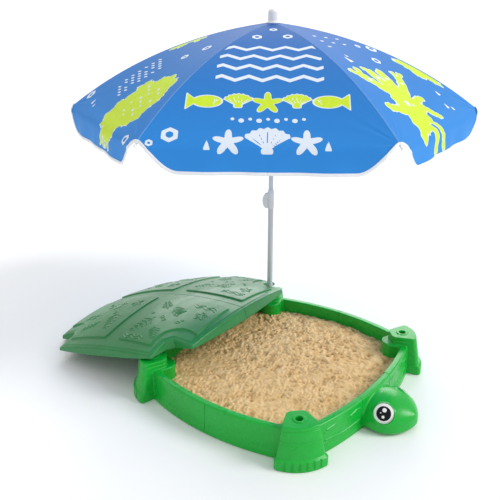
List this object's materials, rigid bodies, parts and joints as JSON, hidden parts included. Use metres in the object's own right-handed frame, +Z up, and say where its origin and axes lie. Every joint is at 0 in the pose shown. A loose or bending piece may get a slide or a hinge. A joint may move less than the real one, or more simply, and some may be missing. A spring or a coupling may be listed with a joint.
{
  "type": "sandbox with cover",
  "caption": "Low moulded turtle-shaped sandbox with corner sockets, a domed shell cover leaning on its rear legs and a folding sunshade on a telescopic pole.",
  "frame": {"origin": "centre of the tub on the ground plane", "axes": "+X to the turtle's head, +Y to the turtle's left, +Z up"},
  "size_m": [1.7967, 1.8158, 1.4723],
  "materials": {
    "green_plastic": "glossy moulded polyethylene",
    "lid_plastic": "satin moulded polyethylene",
    "eye_white": "glossy",
    "eye_black": "glossy",
    "sand": "loose grains",
    "white_paint": "smooth white powder coat",
    "white_plastic": "smooth",
    "steel": "zinc plated",
    "rib_steel": "white painted wire",
    "shade_cloth": "woven polyester, printed"
  },
  "bodies": {
    "tub": {"tub_front_half": "green_plastic", "tub_rear_half": "green_plastic", "head": "green_plastic", "side_bolts": "steel", "head_bolts": "steel", "eye_right": "eye_white", "eye_left": "eye_white", "pupil_right": "eye_black", "pupil_left": "eye_black", "sand_fill": "sand"},
    "lid": {"lid_half_near": "lid_plastic", "lid_half_far": "lid_plastic", "lid_screws": "steel"},
    "lower_mast": {"lower_pole": "white_paint", "pole_plug": "white_plastic", "lock_collar": "white_plastic", "lever_pin": "steel"},
    "lever": {"lock_lever": "white_plastic"},
    "upper_mast": {"upper_pole": "white_paint", "crown": "white_plastic", "rib_pins": "steel", "finial": "white_plastic"},
    "slider": {"runner": "white_plastic", "runner_pins": "steel"},
    "rib_body_1": {"rib_1": "rib_steel", "rib_cap_1": "white_plastic", "cloth_1": "shade_cloth"},
    "arm_body_1": {"arm_1": "rib_steel"},
    "rib_body_2": {"rib_2": "rib_steel", "rib_cap_2": "white_plastic", "cloth_2": "shade_cloth"},
    "arm_body_2": {"arm_2": "rib_steel"},
    "rib_body_3": {"rib_3": "rib_steel", "rib_cap_3": "white_plastic", "cloth_3": "shade_cloth"},
    "arm_body_3": {"arm_3": "rib_steel"},
    "rib_body_4": {"rib_4": "rib_steel", "rib_cap_4": "white_plastic", "cloth_4": "shade_cloth"},
    "arm_body_4": {"arm_4": "rib_steel"},
    "rib_body_5": {"rib_5": "rib_steel", "rib_cap_5": "white_plastic", "cloth_5": "shade_cloth"},
    "arm_body_5": {"arm_5": "rib_steel"},
    "rib_body_6": {"rib_6": "rib_steel", "rib_cap_6": "white_plastic", "cloth_6": "shade_cloth"},
    "arm_body_6": {"arm_6": "rib_steel"}
  },
  "joints": [
    {"name": "lid_tip", "type": "hinge", "parent": "tub", "child": "lid", "pos_m": [-1.04807, 0, 0], "axis": [0, -1, 0], "range_deg": [0, 60]},
    {"name": "shade_swivel", "type": "hinge", "parent": "tub", "child": "lower_mast", "pos_m": [-0.354, 0.4, 0.1], "axis": [0, 0, 1], "continuous": true},
    {"name": "lever_open", "type": "hinge", "parent": "lower_mast", "child": "lever", "pos_m": [-0.37262, 0.38566, 0.652], "axis": [-0.6101, 0.7923, 0], "range_deg": [0, 95]},
    {"name": "mast_height", "type": "slide", "parent": "lower_mast", "child": "upper_mast", "axis": [0, 0, 1], "range_m": [-0.15, 0.12]},
    {"name": "runner_slide", "type": "slide", "parent": "upper_mast", "child": "slider", "axis": [0, 0, -1], "range_m": [0, 0.33064]},
    {"name": "rib_fold_1", "type": "hinge", "parent": "upper_mast", "child": "rib_body_1", "pos_m": [-0.33921, 0.41025, 1.40897], "axis": [-0.5697, 0.8218, 0], "range_deg": [0, 64.2], "deforming": ["cloth_1"]},
    {"name": "arm_fold_1", "type": "hinge", "parent": "slider", "child": "arm_body_1", "pos_m": [-0.33756, 0.41139, 1.19195], "axis": [0.5697, -0.8218, 0], "range_deg": [0, 46.22]},
    {"name": "rib_fold_2", "type": "hinge", "parent": "upper_mast", "child": "rib_body_2", "pos_m": [-0.35548, 0.41794, 1.40897], "axis": [-0.9966, -0.0825, 0], "range_deg": [0, 64.2], "deforming": ["cloth_2"]},
    {"name": "arm_fold_2", "type": "hinge", "parent": "slider", "child": "arm_body_2", "pos_m": [-0.35565, 0.41993, 1.19195], "axis": [0.9966, 0.0825, 0], "range_deg": [0, 46.22]},
    {"name": "rib_fold_3", "type": "hinge", "parent": "upper_mast", "child": "rib_body_3", "pos_m": [-0.37028, 0.40768, 1.40897], "axis": [-0.4269, -0.9043, 0], "range_deg": [0, 64.2], "deforming": ["cloth_3"]},
    {"name": "arm_fold_3", "type": "hinge", "parent": "slider", "child": "arm_body_3", "pos_m": [-0.37209, 0.40854, 1.19195], "axis": [0.4269, 0.9043, 0], "range_deg": [0, 46.22]},
    {"name": "rib_fold_4", "type": "hinge", "parent": "upper_mast", "child": "rib_body_4", "pos_m": [-0.36879, 0.38975, 1.40897], "axis": [0.5697, -0.8218, 0], "range_deg": [0, 64.2], "deforming": ["cloth_4"]},
    {"name": "arm_fold_4", "type": "hinge", "parent": "slider", "child": "arm_body_4", "pos_m": [-0.37044, 0.38861, 1.19195], "axis": [-0.5697, 0.8218, 0], "range_deg": [0, 46.22]},
    {"name": "rib_fold_5", "type": "hinge", "parent": "upper_mast", "child": "rib_body_5", "pos_m": [-0.35252, 0.38206, 1.40897], "axis": [0.9966, 0.0825, 0], "range_deg": [0, 64.2], "deforming": ["cloth_5"]},
    {"name": "arm_fold_5", "type": "hinge", "parent": "slider", "child": "arm_body_5", "pos_m": [-0.35235, 0.38007, 1.19195], "axis": [-0.9966, -0.0825, 0], "range_deg": [0, 46.22]},
    {"name": "rib_fold_6", "type": "hinge", "parent": "upper_mast", "child": "rib_body_6", "pos_m": [-0.33772, 0.39232, 1.40897], "axis": [0.4269, 0.9043, 0], "range_deg": [0, 64.2], "deforming": ["cloth_6"]},
    {"name": "arm_fold_6", "type": "hinge", "parent": "slider", "child": "arm_body_6", "pos_m": [-0.33591, 0.39146, 1.19195], "axis": [-0.4269, -0.9043, 0], "range_deg": [0, 46.22]}
  ],
  "couplings": [
    {"joint": "rib_fold_1", "follows": "runner_slide", "rad_per_m": 3.3783},
    {"joint": "arm_fold_1", "follows": "runner_slide", "rad_per_m": 2.4294},
    {"joint": "rib_fold_2", "follows": "runner_slide", "rad_per_m": 3.3783},
    {"joint": "arm_fold_2", "follows": "runner_slide", "rad_per_m": 2.4294},
    {"joint": "rib_fold_3", "follows": "runner_slide", "rad_per_m": 3.3783},
    {"joint": "arm_fold_3", "follows": "runner_slide", "rad_per_m": 2.4294},
    {"joint": "rib_fold_4", "follows": "runner_slide", "rad_per_m": 3.3783},
    {"joint": "arm_fold_4", "follows": "runner_slide", "rad_per_m": 2.4294},
    {"joint": "rib_fold_5", "follows": "runner_slide", "rad_per_m": 3.3783},
    {"joint": "arm_fold_5", "follows": "runner_slide", "rad_per_m": 2.4294},
    {"joint": "rib_fold_6", "follows": "runner_slide", "rad_per_m": 3.3783},
    {"joint": "arm_fold_6", "follows": "runner_slide", "rad_per_m": 2.4294}
  ]
}
